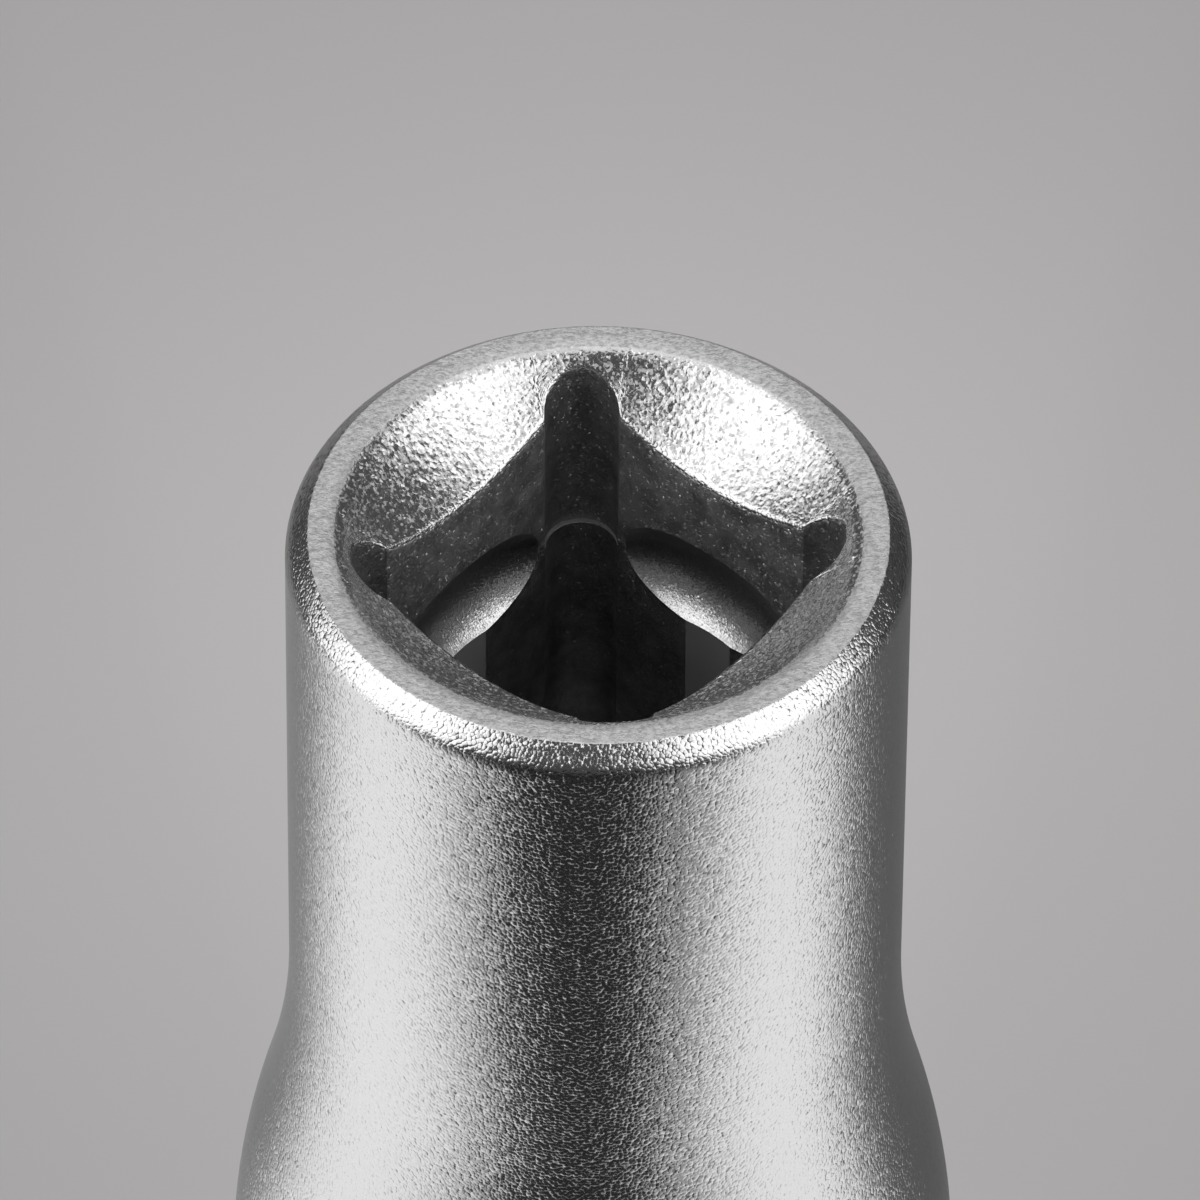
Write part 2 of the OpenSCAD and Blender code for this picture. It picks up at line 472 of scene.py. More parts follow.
def arc(centre: tuple[float, float], radius: float, start: float, end: float,
        steps: int) -> list[tuple[float, float]]:
    """Points of an arc in the half plane of radius and height.

    Args:
        centre: radius and height of the arc's centre.
        radius: the arc's radius.
        start: first angle in radians.
        end: last angle in radians.
        steps: number of chords.

    Returns:
        One (radius, height) pair per point.
    """
    turns = [start + (end - start) * i / steps for i in range(steps + 1)]
    return [(centre[0] + radius * np.cos(t), centre[1] + radius * np.sin(t)) for t in turns]


def rounded(corners: list[tuple[float, float, float]], steps: int) -> list[tuple[float, float]]:
    """Rounds the corners of an open outline.

    Args:
        corners: radius, height and rounding of each corner, in order.
        steps: chords in each rounding.

    Returns:
        The outline's points, with an arc at each rounded corner.
    """
    line: list[tuple[float, float]] = []
    for k, (x, y, r) in enumerate(corners):
        if r == 0 or k in (0, len(corners) - 1):
            line.append((x, y))
            continue
        here = Vector((x, y))
        back = (Vector(corners[k - 1][:2]) - here).normalized()
        ahead = (Vector(corners[k + 1][:2]) - here).normalized()
        half = back.angle(ahead) / 2
        centre = here + (back + ahead).normalized() * (r / math.sin(half))
        first = here + back * (r / math.tan(half)) - centre
        last = here + ahead * (r / math.tan(half)) - centre
        sweep = first.angle_signed(last)
        start = math.atan2(first.y, first.x)
        line += arc((centre.x, centre.y), r, start, start - sweep, steps)
    return line


def smooth_max(a: np.ndarray, b: np.ndarray, reach: float) -> np.ndarray:
    """Larger of two radii, blended where they are within reach of each other, which rounds the edge."""
    near = np.clip(1 - np.abs(a - b) / reach, 0, None)
    return np.maximum(a, b) + reach / 4 * near ** 2


@dataclass
class SocketBody:
    """The forged body: relieved square drive, flared barrel and hex, all sizes in millimetres.

    Names that end in _l, _depth or _h run along the axis, those in _r are radii, and a reach or a flat is a
    distance from the axis.
    """

    drive_r: float = 5.85
    hex_r: float = 7.0
    drive_end_l: float = 11.2
    flare_l: float = 9.0
    drive_chamfer: float = 0.42
    hex_chamfer: float = 0.45
    flat: float = 3.23
    square_depth: float = 9.8
    dish_r: float = 6.6
    dish_lift: float = 4.42
    lobe_r: float = 0.7
    lobe_reach: float = 3.92
    lobe_depth: float = 4.35
    lobe_mouth_r: float = 0.15
    corner_reach: float = 4.5
    corner_r: float = 0.12
    groove_depth: float = 4.2
    groove_r: float = 1.29
    groove_reach: float = 2.55
    pilot_r: float = 3.275
    pilot_lip: float = 0.004  # keeps the square's floor from having no width
    hex_flat: float = 5.06
    hex_depth: float = 10.2
    hex_lobe_r: float = 0.55
    hex_lobe_reach: float = 5.4
    hex_edge_h: float = 0.03
    mouth_r: float = 6.05
    mouth_edge_w: float = 0.06
    mouth_edge_h: float = 0.01
    mouth_slope_deg: float = 30.0
    stop_cone_h: float = 0.5
    stop_ledge: float = 0.02  # width of the hex floor in the middle of a flat
    bore_r: float = 4.5
    bore_top: float = 36.0
    ring_groove_r: float = 4.95
    ring_z: float = 11.65
    ring_groove_half: float = 0.45
    edge_r: float = 0.22  # where the square's walls meet the dish
    face_inner_r: float = 4.93
    face_outer_w: float = 0.2
    face_edge_r: float = 0.07
    rim_edge_r: float = 0.6
    chamfer_edge_r: float = 0.5
    flare_margin: float = 0.5
    hex_shoulder_r: float = 0.2
    hex_face_edge_r: float = 0.08
    hex_face_w: float = 0.12
    ledge_w: float = 0.09
    ledge_h: float = 0.03
    relief_min: float = 0.03  # least depth that counts as a corner relief
    peen_mm: float = 0.04
    peen_h: float = 0.009
    peen_seed: int = 11

    @property
    def length(self) -> float:
        """Length between the end faces, from the frame."""
        low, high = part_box("socket_body")
        return (high[2] - low[2]) / MM

    def drive_outline(self) -> np.ndarray:
        """Outline of the relieved square as points, from the middle of one flat all the way round.

        Returns:
            One (x, y) row per point.
        """
        centre = self.lobe_reach / math.sqrt(2)
        across = self.flat + self.lobe_mouth_r - centre
        reach = self.lobe_r + self.lobe_mouth_r
        mouth_y = centre - math.sqrt(reach ** 2 - across ** 2)
        turn = math.atan2(mouth_y - centre, across)
        cut = math.sqrt(self.pilot_r ** 2 - self.flat ** 2)
        inner, outer = 3, 20
        flats = [(self.flat, cut * i / inner) for i in range(inner)]
        flats += [(self.flat, cut + (mouth_y - cut) * math.sin(math.pi / 2 * i / outer)) for i in range(outer)]
        mouth = arc((self.flat + self.lobe_mouth_r, mouth_y), self.lobe_mouth_r, math.pi, math.pi + turn, 6)
        lobe = arc((centre, centre), self.lobe_r, turn, math.pi / 4, 12)
        octant = np.array(flats + mouth + lobe[1:])
        mirrored = octant[-2:0:-1, ::-1]
        quarter = np.concatenate([octant, mirrored])
        return around(quarter, 4)

    def hex_outline(self) -> np.ndarray:
        """Outline of the relieved hex as points, from one corner all the way round.

        Returns:
            One (x, y) row per point.
        """
        across = math.acos((self.hex_flat - self.hex_lobe_reach * math.cos(math.pi / 6)) / self.hex_lobe_r)
        lobe = arc((self.hex_lobe_reach, 0.0), self.hex_lobe_r, 0.0, math.pi / 6 + across, 10)
        last = np.array(lobe[-1])
        middle = self.hex_flat * np.array([math.cos(math.pi / 6), math.sin(math.pi / 6)])
        steps = 6
        flats = [tuple(last + (middle - last) * (i + 1) / steps) for i in range(steps)]
        half = np.array(lobe + flats)
        mirror = math.pi / 3
        flipped = half[-2:0:-1] @ np.array(
            [[math.cos(mirror), math.sin(mirror)], [math.sin(mirror), -math.cos(mirror)]])
        return around(np.concatenate([half, flipped]), 6)

    def lower_square(self, turn: np.ndarray, wall: np.ndarray) -> np.ndarray:
        """Wall of the square below the ledge, whose corners keep just inside the reliefs above.

        Args:
            turn: angles round the axis.
            wall: distance of the relieved square's wall from the axis at each angle.

        Returns:
            Distance from the axis at each angle.
        """
        folded = np.abs((turn + math.pi / 4) % (math.pi / 2) - math.pi / 4)
        corner = np.full_like(wall, self.corner_reach)
        square = np.minimum(-smooth_max(-self.flat / np.cos(folded), -corner, self.corner_r), wall)
        return np.maximum(square, wall - self.ledge_w)

    def groove_half(self, wall: np.ndarray) -> np.ndarray:
        """Half the height at which the turned ball groove cuts a wall, or the ledge's where it misses."""
        half = np.sqrt(np.clip(self.groove_r ** 2 - (wall - self.groove_reach) ** 2, 0, None))
        return np.maximum(half, self.ledge_h / 2)

    def drive_profile(self, turn: np.ndarray, wall: np.ndarray) -> Profile:
        """Section of the drive recess at every angle, from the bore's floor up to the drive face.

        Args:
            turn: angles round the axis.
            wall: distance of the relieved square's wall from the axis at each angle.

        Returns:
            Radius, height and finish of every ring, from the inside out.
        """
        flat_ring = np.ones_like(turn)
        square = self.lower_square(turn, wall)
        lower = np.maximum(square, self.pilot_r + self.pilot_lip)
        relieved = wall - lower > self.relief_min
        grooved = wall < self.groove_reach + self.groove_r
        rows: Profile = []

        def at(radius: np.ndarray, depth: np.ndarray | float, finish: int | np.ndarray) -> None:
            """Adds a ring at a depth below the drive face."""
            rows.append((radius, self.length - depth * flat_ring, finish))

        def where(mask: np.ndarray, yes: int, no: int | np.ndarray) -> np.ndarray:
            """Chooses each quad's finish by whether both its sides are in the mask."""
            return np.where(mask & np.roll(mask, -1), yes, no)

        for height in (self.bore_top, (self.bore_top + self.length - self.square_depth) / 2):
            at(self.pilot_r * flat_ring, self.length - height, BodyFinish.BORE)
        for share in (0.0, 0.05, 0.95, 1.0):
            at(self.pilot_r + (lower - self.pilot_r) * share, self.square_depth, BodyFinish.BORE)
        middle = np.where(relieved, self.lobe_depth, self.groove_depth)
        below, above = self.groove_half(lower), self.groove_half(wall)
        # The reliefs, and below the groove all but the pilot strips, take the corner finish: painted shade
        upper = where(relieved, BodyFinish.CORNER, BodyFinish.WALL)
        deep = where(square <= self.pilot_r, BodyFinish.PILOT, BodyFinish.CORNER)
        for share in np.linspace(0.02, 1, 6):
            at(lower, self.square_depth + (middle + below - self.square_depth) * share, deep)
        # Across the ledge the bore's dark finish paints a line of shade, and above it the corner's painted shade
        # follows
        foot_end, shade_end = -0.4, 0.55  # the ledge's pale foot and the dark line over it
        for step in np.linspace(-1, 1, 41)[1:]:
            ledge_with_painted_shade = (BodyFinish.WALL if step < foot_end
                   else BodyFinish.BORE if step < shade_end else BodyFinish.CORNER)
            cut = where(grooved, BodyFinish.GROOVE, where(relieved, ledge_with_painted_shade, BodyFinish.WALL))
            rise = step * (below if step < 0 else above)
            groove = self.groove_reach + np.sqrt(self.groove_r ** 2 - rise ** 2)
            ledge = lower + (wall - lower) * np.clip(step + 0.5, 0, 1)
            at(np.where(grooved, groove, np.where(relieved, ledge, wall)), middle - rise, cut)
        centre_r = wall + self.edge_r
        centre_d = np.sqrt((self.dish_r + self.edge_r) ** 2 - centre_r ** 2) - self.dish_lift
        for share in (0.3, 0.6, 0.85, 1.0):
            at(wall, middle - above + (centre_d - middle + above) * share, upper)
        last_turn = np.arctan2(-(self.dish_lift + centre_d), -centre_r) + 2 * math.pi
        for share in np.linspace(0, 1, 7)[1:]:
            angle = math.pi + (last_turn - math.pi) * share
            at(centre_r + self.edge_r * np.cos(angle), centre_d + self.edge_r * np.sin(angle),
               upper if share < 0.4 else BodyFinish.BLASTED)
        return rows

    def dish_profile(self, inner_r: np.ndarray) -> Profile:
        """Section of the peened dish and its rounded rim at every angle, out to the drive face.

        Args:
            inner_r: radius at each angle where the dish begins.

        Returns:
            Radius, height and finish of every ring.
        """
        dice = np.random.default_rng(self.peen_seed)
        rim_c = math.sqrt((self.dish_r + self.rim_edge_r) ** 2 - (self.rim_edge_r + self.dish_lift) ** 2)
        outer_r = rim_c * self.dish_r / (self.dish_r + self.rim_edge_r)
        rim_turn = math.atan2(-(self.dish_lift + self.rim_edge_r), -rim_c)
        rows: Profile = []

        def dent(room: np.ndarray) -> np.ndarray:
            """Height of each point's dent, less where the points are closer than the dents."""
            return self.peen_h * np.clip(room / self.peen_mm, 0, 1) * dice.uniform(-1, 1, len(inner_r))

        dish_steps, rim_steps = 42, 12
        for share in np.linspace(0, 1, dish_steps + 1)[1:]:
            radius = inner_r + (outer_r - inner_r) * share
            lean = np.arcsin(radius / self.dish_r)
            raised = dent((outer_r - inner_r) / dish_steps / np.cos(lean))
            rows.append((
                radius - raised * np.sin(lean),
                self.length + self.dish_lift - (self.dish_r - raised) * np.cos(lean), BodyFinish.DISH))
        for share in np.linspace(0, 1, rim_steps + 1)[1:]:
            angle = rim_turn + (-math.pi / 2 - rim_turn) * share
            radius = rim_c + self.rim_edge_r * math.cos(angle)
            raised = self.rim_edge_r + dent(np.full_like(inner_r, (self.face_inner_r - radius) / 3))
            rows.append((
                rim_c + raised * math.cos(angle),
                self.length - self.rim_edge_r - raised * math.sin(angle), BodyFinish.DISH))
        return rows

    def outer_profile(self) -> list[tuple[float, float]]:
        """Section of the outside, from the drive face down to the hex end's face.

        Returns:
            Radius and height of each point.
        """
        top = self.length
        rise = self.hex_r - self.drive_r
        flare_r = (self.flare_l ** 2 + rise ** 2) / (4 * rise)
        step = math.asin(self.flare_l / (2 * flare_r))
        flare_top = top - self.drive_end_l
        flare_foot = flare_top - self.flare_l
        round_steps, flare_steps = 6, 14
        rim = rounded([
            (self.drive_r - self.drive_chamfer - self.face_outer_w, top, 0),
            (self.drive_r - self.drive_chamfer, top, self.face_edge_r),
            (self.drive_r, top - self.drive_chamfer, self.chamfer_edge_r),
            (self.drive_r, flare_top + self.flare_margin, 0)], round_steps)
        concave = arc((self.drive_r + flare_r, flare_top), flare_r, math.pi, math.pi + step, flare_steps)
        convex = arc((self.hex_r - flare_r, flare_foot), flare_r, step, 0, flare_steps)
        nose = rounded([
            (self.hex_r, flare_foot - self.flare_margin, 0),
            (self.hex_r, self.hex_chamfer, self.hex_shoulder_r),
            (self.hex_r - self.hex_chamfer, 0.0, self.hex_face_edge_r),
            (self.hex_r - self.hex_chamfer - self.hex_face_w, 0.0, 0)], round_steps)
        return rim + concave + convex[1:] + nose

    def hex_profile(self, turn: np.ndarray, wall: np.ndarray) -> Profile:
        """Section of the hex end at every angle, from its face up to the floor of the deep bore.

        Args:
            turn: angles round the axis.
            wall: distance of the relieved hex's wall from the axis at each angle.

        Returns:
            Radius, height and finish of every ring.
        """
        flat_ring = np.ones_like(turn)
        slope = math.tan(math.radians(self.mouth_slope_deg))
        edge = (self.mouth_r - wall) * slope
        lip = np.minimum(wall, self.hex_flat) - self.stop_ledge
        low, high = self.ring_z - self.ring_groove_half, self.ring_z + self.ring_groove_half
        rows: Profile = []

        def at(radius: np.ndarray | float, height: np.ndarray | float, finish: int) -> None:
            """Adds a ring at a height above the hex end's face."""
            rows.append((radius * flat_ring, height * flat_ring, finish))

        at(self.mouth_r + self.mouth_edge_w, 0.0, BodyFinish.BLASTED)
        at(self.mouth_r, self.mouth_edge_h, BodyFinish.BLASTED)
        for share in (0.35, 0.7, 0.97):
            at(self.mouth_r + (wall - self.mouth_r) * share, edge * share, BodyFinish.BLASTED)
        at(wall, edge + self.hex_edge_h, BodyFinish.BLASTED)
        for share in (0.02, 0.5, 0.98, 1.0):
            at(wall, edge + (self.hex_depth - edge) * share, BodyFinish.WALL)
        at(lip, self.hex_depth, BodyFinish.WALL)
        for radius, height in (
                (self.bore_r, self.hex_depth + self.stop_cone_h), (self.bore_r, low),
                (self.ring_groove_r, low), (self.ring_groove_r, high), (self.bore_r, high),
                (self.bore_r, (high + self.bore_top) / 2), (self.bore_r, self.bore_top)):
            at(radius, height, BodyFinish.BORE)
        return rows

    def finishes(self) -> list[bpy.types.Material]:
        """Makes the body's finishes.

        Returns:
            One material per BodyFinish, in its order.
        """
        face = GroundFace(self.face_inner_r, self.drive_r - self.drive_chamfer, self.length)
        kinds = {
            # Bead-blasted chrome: an even satin that breaks into small glints, with a dull ground ring on top
            BodyFinish.BLASTED: BlastedChrome(dent_deg=6.8, face=face),
            # Forged steel under thin plate: pale, cloudy and nearly matt, with a few bright grains
            BodyFinish.WALL: BlastedChrome(
                "forged_wall", colour="e4e4e4", roughness=0.4, dent_mm=0.045, dent_deg=9.0, tilt_deg=20.0,
                clouds="b0b0b0"),
            # The same steel in the reliefs and deep in the square, painted darker as shade: darker and as matt
            BodyFinish.CORNER: BlastedChrome(
                "forged_corner_shade", colour="a8a8a8", roughness=0.42, dent_mm=0.045, dent_deg=9.0, tilt_deg=20.0,
                clouds="8c8c8c"),
            # Turned and plated: smoother than the walls, so it shows a soft moving highlight
            BodyFinish.GROOVE: BlastedChrome(
                "turned_groove", colour="bebebe", roughness=0.28, dent_mm=0.04, dent_deg=4.0, tilt_deg=7.0),
            # Turned steel with hardly any plate: matt strips down the flats
            BodyFinish.PILOT: PlainMetal("turned_pilot", "b4b4b4", 0.65),
            # Drilled steel out of the plating's reach: dark and matt; on the ledge it paints a dark line of shade
            BodyFinish.BORE: PlainMetal("drilled_bore_and_ledge_shade", "808080", 0.6),
            # Peened and plated: bright shallow facets among dull grains, pale at a flat angle
            BodyFinish.DISH: BlastedChrome("peened_dish", dent_deg=3.4, dull_share=0.26, haze=0.1, face=face)}
        return [kinds[kind].material() for kind in BodyFinish]

    def build(self, materials: list[bpy.types.Material]) -> bpy.types.Object:
        """Builds the whole body as one closed mesh.

        Args:
            materials: one per BodyFinish.

        Returns:
            The body's object.
        """
        skin = Skin()
        outline = self.drive_outline()
        turn = np.unwrap(np.arctan2(outline[:, 1], outline[:, 0]))
        wall = np.hypot(outline[:, 0], outline[:, 1])
        ones = np.ones_like(turn)
        outside: Profile = [(r * ones, z * ones, BodyFinish.BLASTED) for r, z in self.outer_profile()]
        recess = self.drive_profile(turn, wall)
        fine = subdivided(turn, self.peen_mm / self.lobe_reach)
        inner_r = np.interp(fine, turn, recess[-1][0], period=2 * math.pi)
        recess_rings = self.lay(skin, turn, recess)
        dish_rings = self.lay(skin, fine, self.dish_profile(inner_r))
        top_rings = self.lay(skin, turn, outside)
        skin.stitch(recess_rings[1], dish_rings[0], (turn, fine), BodyFinish.DISH)
        skin.stitch(dish_rings[1], top_rings[0], (fine, turn), BodyFinish.BLASTED)
        hexes = self.hex_outline()
        hex_turn = np.unwrap(np.arctan2(hexes[:, 1], hexes[:, 0]))
        hex_wall = np.hypot(hexes[:, 0], hexes[:, 1])
        hex_rings = self.lay(skin, hex_turn, self.hex_profile(hex_turn, hex_wall))
        skin.stitch(top_rings[1], hex_rings[0], (turn, hex_turn), BodyFinish.BLASTED)
        skin.stitch(hex_rings[1], recess_rings[0], (hex_turn, turn), BodyFinish.BORE)
        return skin.piece("socket_body_skin", materials)

    @staticmethod
    def lay(skin: Skin, turn: np.ndarray, rows: Profile) -> tuple[np.ndarray, np.ndarray]:
        """Adds rings and the bands between them.

        Args:
            skin: the piece that grows.
            turn: angles round the axis.
            rows: radius, height and finish of each ring.

        Returns:
            Indices of the first and the last ring.
        """
        rings = [skin.ring(np.stack([r * np.cos(turn), r * np.sin(turn), z], axis=1)) for r, z, _ in rows]
        for low, high, (_, _, finish) in zip(rings, rings[1:], rows[1:]):
            skin.band(low, high, finish)
        return rings[0], rings[-1]


def subdivided(turn: np.ndarray, step: float) -> np.ndarray:
    """Adds angles between those of a ring.

    Args:
        turn: the ring's rising angles.
        step: widest gap that may stay, in radians.

    Returns:
        The ring's angles and the new ones, rising.
    """
    ends = np.append(turn, turn[0] + 2 * math.pi)
    parts = [np.linspace(a, b, max(1, math.ceil((b - a) / step)), endpoint=False) for a, b in zip(ends, ends[1:])]
    return np.concatenate(parts)


def around(points: np.ndarray, count: int) -> np.ndarray:
    """Repeats an outline's points round the axis.

    Args:
        points: (x, y) rows of one sector, without the first point of the next.
        count: how many sectors make the turn.

    Returns:
        The points of the whole turn.
    """
    made = []
    for k in range(count):
        c, s = math.cos(2 * math.pi * k / count), math.sin(2 * math.pi * k / count)
        made.append(points @ np.array([[c, s], [-s, c]]))
    return np.concatenate(made)


@dataclass
class MagnetSpring:
    """The coil spring between the magnet's carrier and the floor of the bore, in millimetres."""

    # Drawn spring wire: a plain mid grey with a long soft highlight on each turn
    finish: PlainMetal = PlainMetal("spring_wire", "9a9a9c", 0.3)
    wire_r: float = 0.25
    coil_r: float = 3.85
    turns: int = 9
    end_pitch: float = 1.0
    rings_per_turn: int = 40
    sides: int = 14

    def build(self) -> bpy.types.Object:
        """Sweeps the round wire along the coil and gives it its finish.

        Returns:
            The spring's object.
        """
        low, high = (corner[2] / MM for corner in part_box("magnet_spring"))
        foot, top = low + self.wire_r, high - self.wire_r
        pitch = (top - foot - 2 * self.end_pitch) / (self.turns - 2)
        around_wire = np.linspace(0, 2 * math.pi, self.sides, endpoint=False)
        radius = self.coil_r + self.wire_r * np.cos(around_wire)
        skin = Skin()
        rings = []
        for t in np.linspace(0, self.turns, self.turns * self.rings_per_turn + 1):
            height = foot + self.end_pitch * min(t, 1) + pitch * min(max(t - 1, 0), self.turns - 2)
            height += self.end_pitch * max(t - self.turns + 1, 0)
            turn = 2 * math.pi * t
            rings.append(skin.ring(np.stack([
                radius * math.cos(turn), radius * math.sin(turn),
                height + self.wire_r * np.sin(around_wire)], axis=1)))
        for first, second in zip(rings, rings[1:]):
            skin.band(first, second, 0)
        skin.faces += [tuple(rings[0]), tuple(rings[-1][::-1])]
        skin.finishes += [0, 0]
        return skin.piece("magnet_spring_wire", [self.finish.material()])


@dataclass(frozen=True)
class NutHolder:
    """The wire ring, the sliding carrier and its magnet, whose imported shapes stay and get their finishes."""

    # Phosphated spring wire: dark grey, with little gloss
    ring: PlainMetal = PlainMetal("ring_wire", "58585a", 0.4)
    # Turned and zinc plated steel: a mid grey with a soft gloss
    carrier: PlainMetal = PlainMetal("turned_carrier", "a0a0a2", 0.3)
    # Bright nickel plate: pale, slightly warm and the shiniest of all
    magnet: PlainMetal = PlainMetal("nickel_plate", "cfcac0", 0.18)

    def dress(self) -> None:
        """Gives the three nodes their finishes."""
        for name, finish in (
                ("retaining_ring", self.ring), ("magnet_carrier", self.carrier), ("holding_magnet", self.magnet)):
            node = frame["nodes"][name]
            node.data.materials.clear()
            node.data.materials.append(finish.material())
            log.info("%s: %s", name, finish.name)


@dataclass(frozen=True)
class Camera:
    """The photograph's view, as fitted to the socket's rim, in millimetres and degrees."""

    azimuth_deg: float = 40.15
    elevation_deg: float = 45.92
    roll_deg: float = 0.49
    distance: float = 311.0
    shift_right: float = 0.036
    shift_up: float = -1.264
    px_per_mm: float = 53.68
    frame_px: int = 1200
    sensor: float = 36.0

    def axes(self) -> tuple[Vector, Vector, Vector]:
        """Finds which way the camera is turned, before its roll.

        Returns:
            Right, up and forward, in the part's frame.
        """
        a, e = math.radians(self.azimuth_deg), math.radians(self.elevation_deg)
        right = Vector((math.cos(a), math.sin(a), 0))
        forward = Vector((-math.sin(a) * math.cos(e), math.cos(a) * math.cos(e), -math.sin(e)))
        return right, right.cross(forward), forward

    def build(self, rim: Vector) -> bpy.types.Object:
        """Adds the camera and makes it the scene's own.

        Args:
            rim: middle of the drive face, in metres.

        Returns:
            The camera.
        """
        right, up, forward = self.axes()
        data = bpy.data.cameras.new("camera")
        data.sensor_width = self.sensor
        data.lens = self.sensor * self.distance * self.px_per_mm / self.frame_px
        data.clip_start, data.clip_end = 0.01, 20.0
        made = bpy.data.objects.new("camera", data)
        bpy.context.scene.collection.objects.link(made)
        turn = Matrix((right, up, -forward)).transposed().to_4x4()
        place = rim + (right * self.shift_right + up * self.shift_up - forward * self.distance) * MM
        roll = Matrix.Rotation(math.radians(self.roll_deg), 4, "Z")
        made.matrix_world = Matrix.Translation(place) @ turn @ roll
        bpy.context.scene.camera = made
        return made


@dataclass(frozen=True)
class Softbox:
    """A soft lamp with a grid over it, aimed at a point and placed from the camera's azimuth.

    Sizes are in metres. The feather is the share of the width over which the light fades at either side.
    """

    name: str
    side_deg: float
    height_deg: float
    distance: float
    width: float
    tall: float
    radiance: float
    lean_deg: float = 0.0
    feather: float = 0.25
    spread_deg: float = 120.0

    def build(self, camera: Camera, aim: Vector) -> bpy.types.Object:
        """Adds the lamp.

        Args:
            camera: the view whose azimuth the lamp is placed from.
            aim: the point that it faces, in metres.

        Returns:
            The lamp.
        """
        a = math.radians(camera.azimuth_deg + self.side_deg)
        e = math.radians(self.height_deg)
        out = Vector((math.sin(a) * math.cos(e), -math.cos(a) * math.cos(e), math.sin(e)))
        half = math.radians(self.spread_deg) / 2
        data = bpy.data.lights.new(self.name, "AREA")
        data.shape = "RECTANGLE"
        data.size, data.size_y = self.width, self.tall
        data.spread = 2 * half
        # A grid narrows the lamp's light and makes it stronger, which this share undoes
        data.energy = self.radiance * math.pi * self.width * self.tall * (1 - half / math.tan(half))
        data.use_nodes = True
        tree = data.node_tree
        tree.nodes.clear()
        across = add_node(
            tree, "ShaderNodeSeparateXYZ", {0: add_node(tree, "ShaderNodeNewGeometry").outputs["Parametric"]})
        side = add_node(tree, "ShaderNodeMath", {0: across.outputs["X"], 1: 0.5}, operation="PINGPONG")
        fade = add_node(
            tree, "ShaderNodeMapRange", {"Value": side.outputs[0], "From Max": self.feather},
            interpolation_type="SMOOTHSTEP")
        glow = add_node(tree, "ShaderNodeEmission", {"Strength": fade.outputs[0]})
        add_node(tree, "ShaderNodeOutputLight", {"Surface": glow.outputs[0]})
        made = bpy.data.objects.new(self.name, data)
        made.location = aim + out * self.distance
        made.rotation_mode = "QUATERNION"
        made.rotation_quaternion = out.to_track_quat("Z", "Y") @ Quaternion((0, 0, 1), math.radians(self.lean_deg))
        made.visible_camera = False
        bpy.context.scene.collection.objects.link(made)
        return made


@dataclass(frozen=True)
class Flag:
    """A dark card on the floor round the socket, seen only in its reflections."""

    name: str
    left_deg: float
    right_deg: float
    colour: str
    near: float = 0.030
    far: float = 1.0
    lift: float = 0.0015

    def build(self, camera: Camera) -> bpy.types.Object:
        """Lays the card.

        Args:
            camera: the view whose azimuth the card is placed from.

        Returns:
            The card.
        """
        corners = []
        for reach, side in ((self.near, self.left_deg), (self.far, self.left_deg),
                            (self.far, self.right_deg), (self.near, self.right_deg)):
            a = math.radians(camera.azimuth_deg + side)
            corners.append((reach * math.sin(a), -reach * math.cos(a), self.lift))
        card = lay_sheet(self.name, corners, matt_paper(f"{self.name}_card", self.colour, 0.9))
        card.visible_camera = card.visible_diffuse = card.visible_shadow = False
        return card


def matt_paper(name: str, colour: str, roughness: float) -> bpy.types.Material:
    """Makes the plain uncoated paper of the studio, which shows no gloss.

    Args:
        name: the material's name.
        colour: six hex digits.
        roughness: the shader's roughness.

    Returns:
        The material.
    """
    made, tree = empty_material(name)
    shader = add_node(tree, "ShaderNodeBsdfPrincipled", {"Base Color": linear(colour), "Roughness": roughness})
    add_node(tree, "ShaderNodeOutputMaterial", {"Surface": shader.outputs["BSDF"]})
    return made


def lay_sheet(name: str, corners: list[tuple[float, float, float]],
              material: bpy.types.Material) -> bpy.types.Object:
    """Lays a flat sheet that belongs to the studio, not to the socket.

    Args:
        name: the sheet's name.
        corners: its four corners in metres.
        material: its paper.

    Returns:
        The sheet.
    """
    mesh = bpy.data.meshes.new(name)
    mesh.from_pydata(corners, [], [(0, 1, 2, 3)])
    mesh.materials.append(material)
    made = bpy.data.objects.new(name, mesh)
    bpy.context.scene.collection.objects.link(made)
    return made


def studio_floor(side: float = 3.0) -> bpy.types.Object:
    """Lays the plain pale floor.

    Args:
        side: half its width in metres.

    Returns:
        The floor.
    """
    corners = [(-side, -side, 0), (side, -side, 0), (side, side, 0), (-side, side, 0)]
    return lay_sheet("floor", corners, matt_paper("studio_floor", "979595", 0.8))


def world_light(level: float) -> None:
    """Gives the world an even grey of its own.

    Args:
        level: its brightness.
    """
    world = bpy.data.worlds.new("studio")
    world.use_nodes = True
    world.node_tree.nodes["Background"].inputs["Color"].default_value = (level, level, level, 1)
    bpy.context.scene.world = world


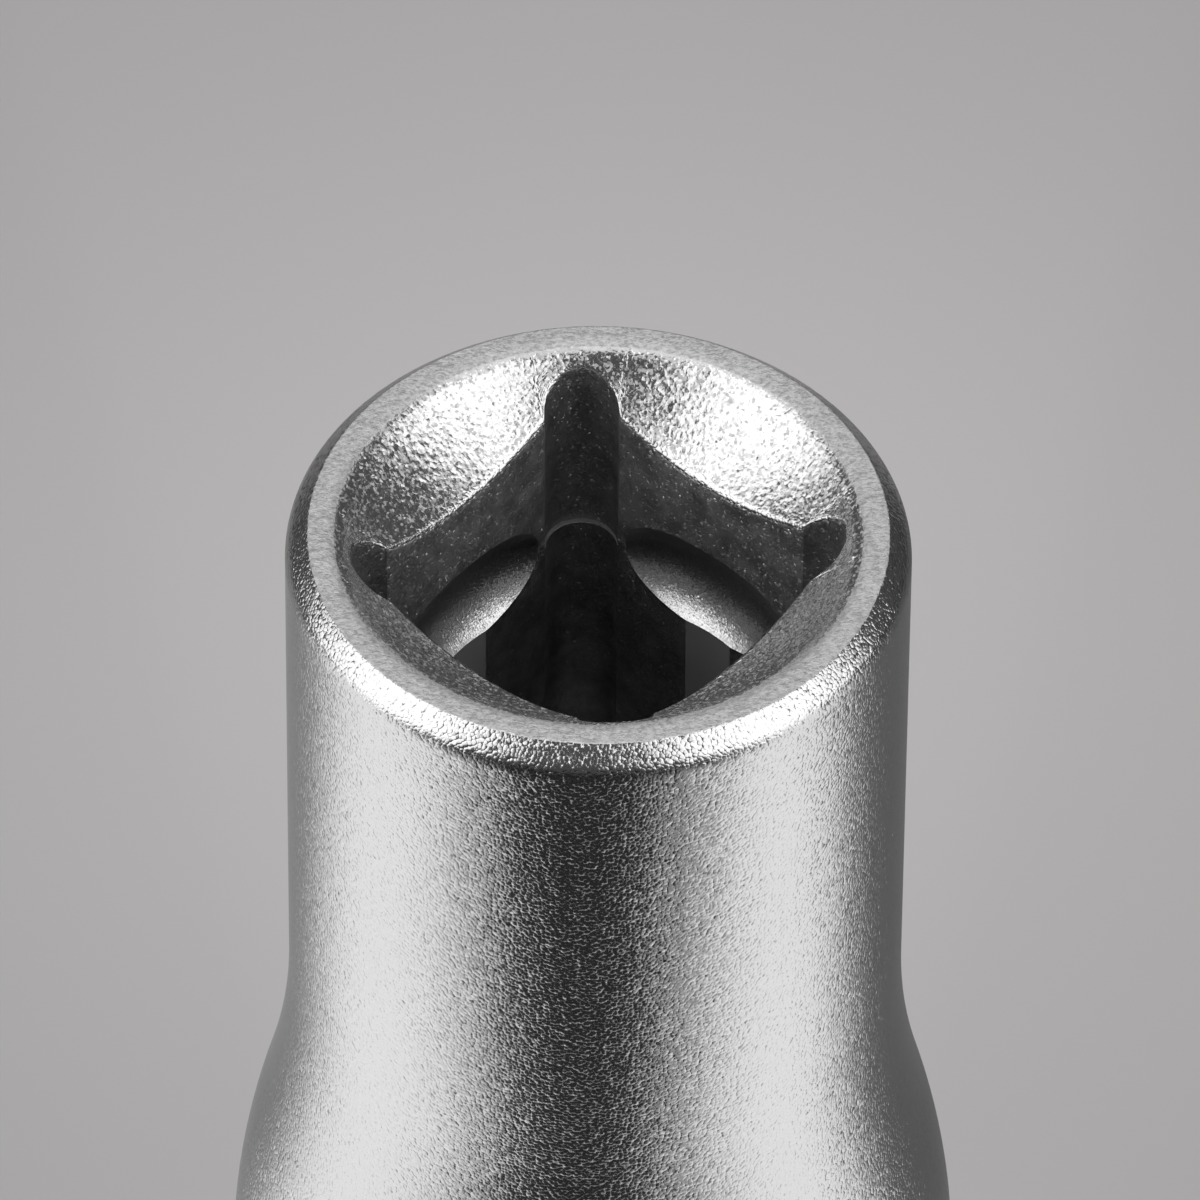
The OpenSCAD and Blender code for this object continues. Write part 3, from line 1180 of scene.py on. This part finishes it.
def light_studio(camera: Camera, rim: Vector) -> None:
    """Sets up the lamps, the cards and the floor.

    Args:
        camera: the view that they are placed from.
        rim: middle of the drive face, in metres.
    """
    above = Vector((0, 0, 0.0743))
    behind = camera.axes()[2].xy.normalized() * 0.048
    for aim, boxes in (
            # The large softboxes give the rim, the dish and the drive end their two bright sides
            (rim, (
                Softbox("left_softbox", side_deg=-75, height_deg=30, distance=0.25,
                        width=0.38, tall=0.33, radiance=2.6, lean_deg=-33),
                Softbox("right_softbox", side_deg=61, height_deg=30, distance=0.25,
                        width=0.35, tall=0.33, radiance=2.6, lean_deg=28),
                Softbox("back_softbox", side_deg=180, height_deg=33, distance=0.4,
                        width=0.45, tall=0.55, radiance=0.7),
                Softbox("top_softbox", side_deg=180, height_deg=78, distance=0.3,
                        width=0.6, tall=0.4, radiance=1.6))),
            # The low panels show in the upright wall, which mirrors what is below the rim
            (above, (
                Softbox("left_low_panel", side_deg=-78.8, height_deg=-50.7, distance=0.0648,
                        width=0.0585, tall=0.075, radiance=1.11, feather=0.38, spread_deg=180),
                Softbox("right_low_panel", side_deg=67.2, height_deg=-50.7, distance=0.0648,
                        width=0.0482, tall=0.075, radiance=1.12, feather=0.38, spread_deg=180))),
            # A small lamp evens out the floor behind the socket
            (behind.to_3d(), (
                Softbox("background_lamp", side_deg=0, height_deg=90, distance=0.022,
                        width=0.02, tall=0.02, radiance=2.2, spread_deg=180),))):
        for box in boxes:
            box.build(camera, aim)
    for flag in (
            Flag("front_flag", -34, 20, "0a0a0a"),
            Flag("left_flag", -168, -118, "8a8a8a", far=0.085),
            Flag("right_flag", 100, 146, "606060"),
            Flag("right_back_flag", 146, 168, "606060", far=0.085)):
        flag.build(camera)
    studio_floor()
    world_light(0.09)


def main() -> None:
    """Builds every piece, the camera and the light."""
    logging.basicConfig(level=logging.INFO, format="%(name)s: %(message)s")
    bpy.context.scene.view_settings.view_transform = "Standard"
    body = SocketBody()
    skin = body.build(body.finishes())
    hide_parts("socket_body")
    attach(skin, "socket")
    log.info("body: %d faces", len(skin.data.polygons))
    spring = MagnetSpring().build()
    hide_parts("magnet_spring")
    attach(spring, "socket")
    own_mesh(spring)
    log.info("spring: %d faces", len(spring.data.polygons))
    NutHolder().dress()
    rim = Vector((0, 0, body.length * MM))
    camera = Camera()
    camera.build(rim)
    light_studio(camera, rim)


if __name__ == "__main__":
    main()
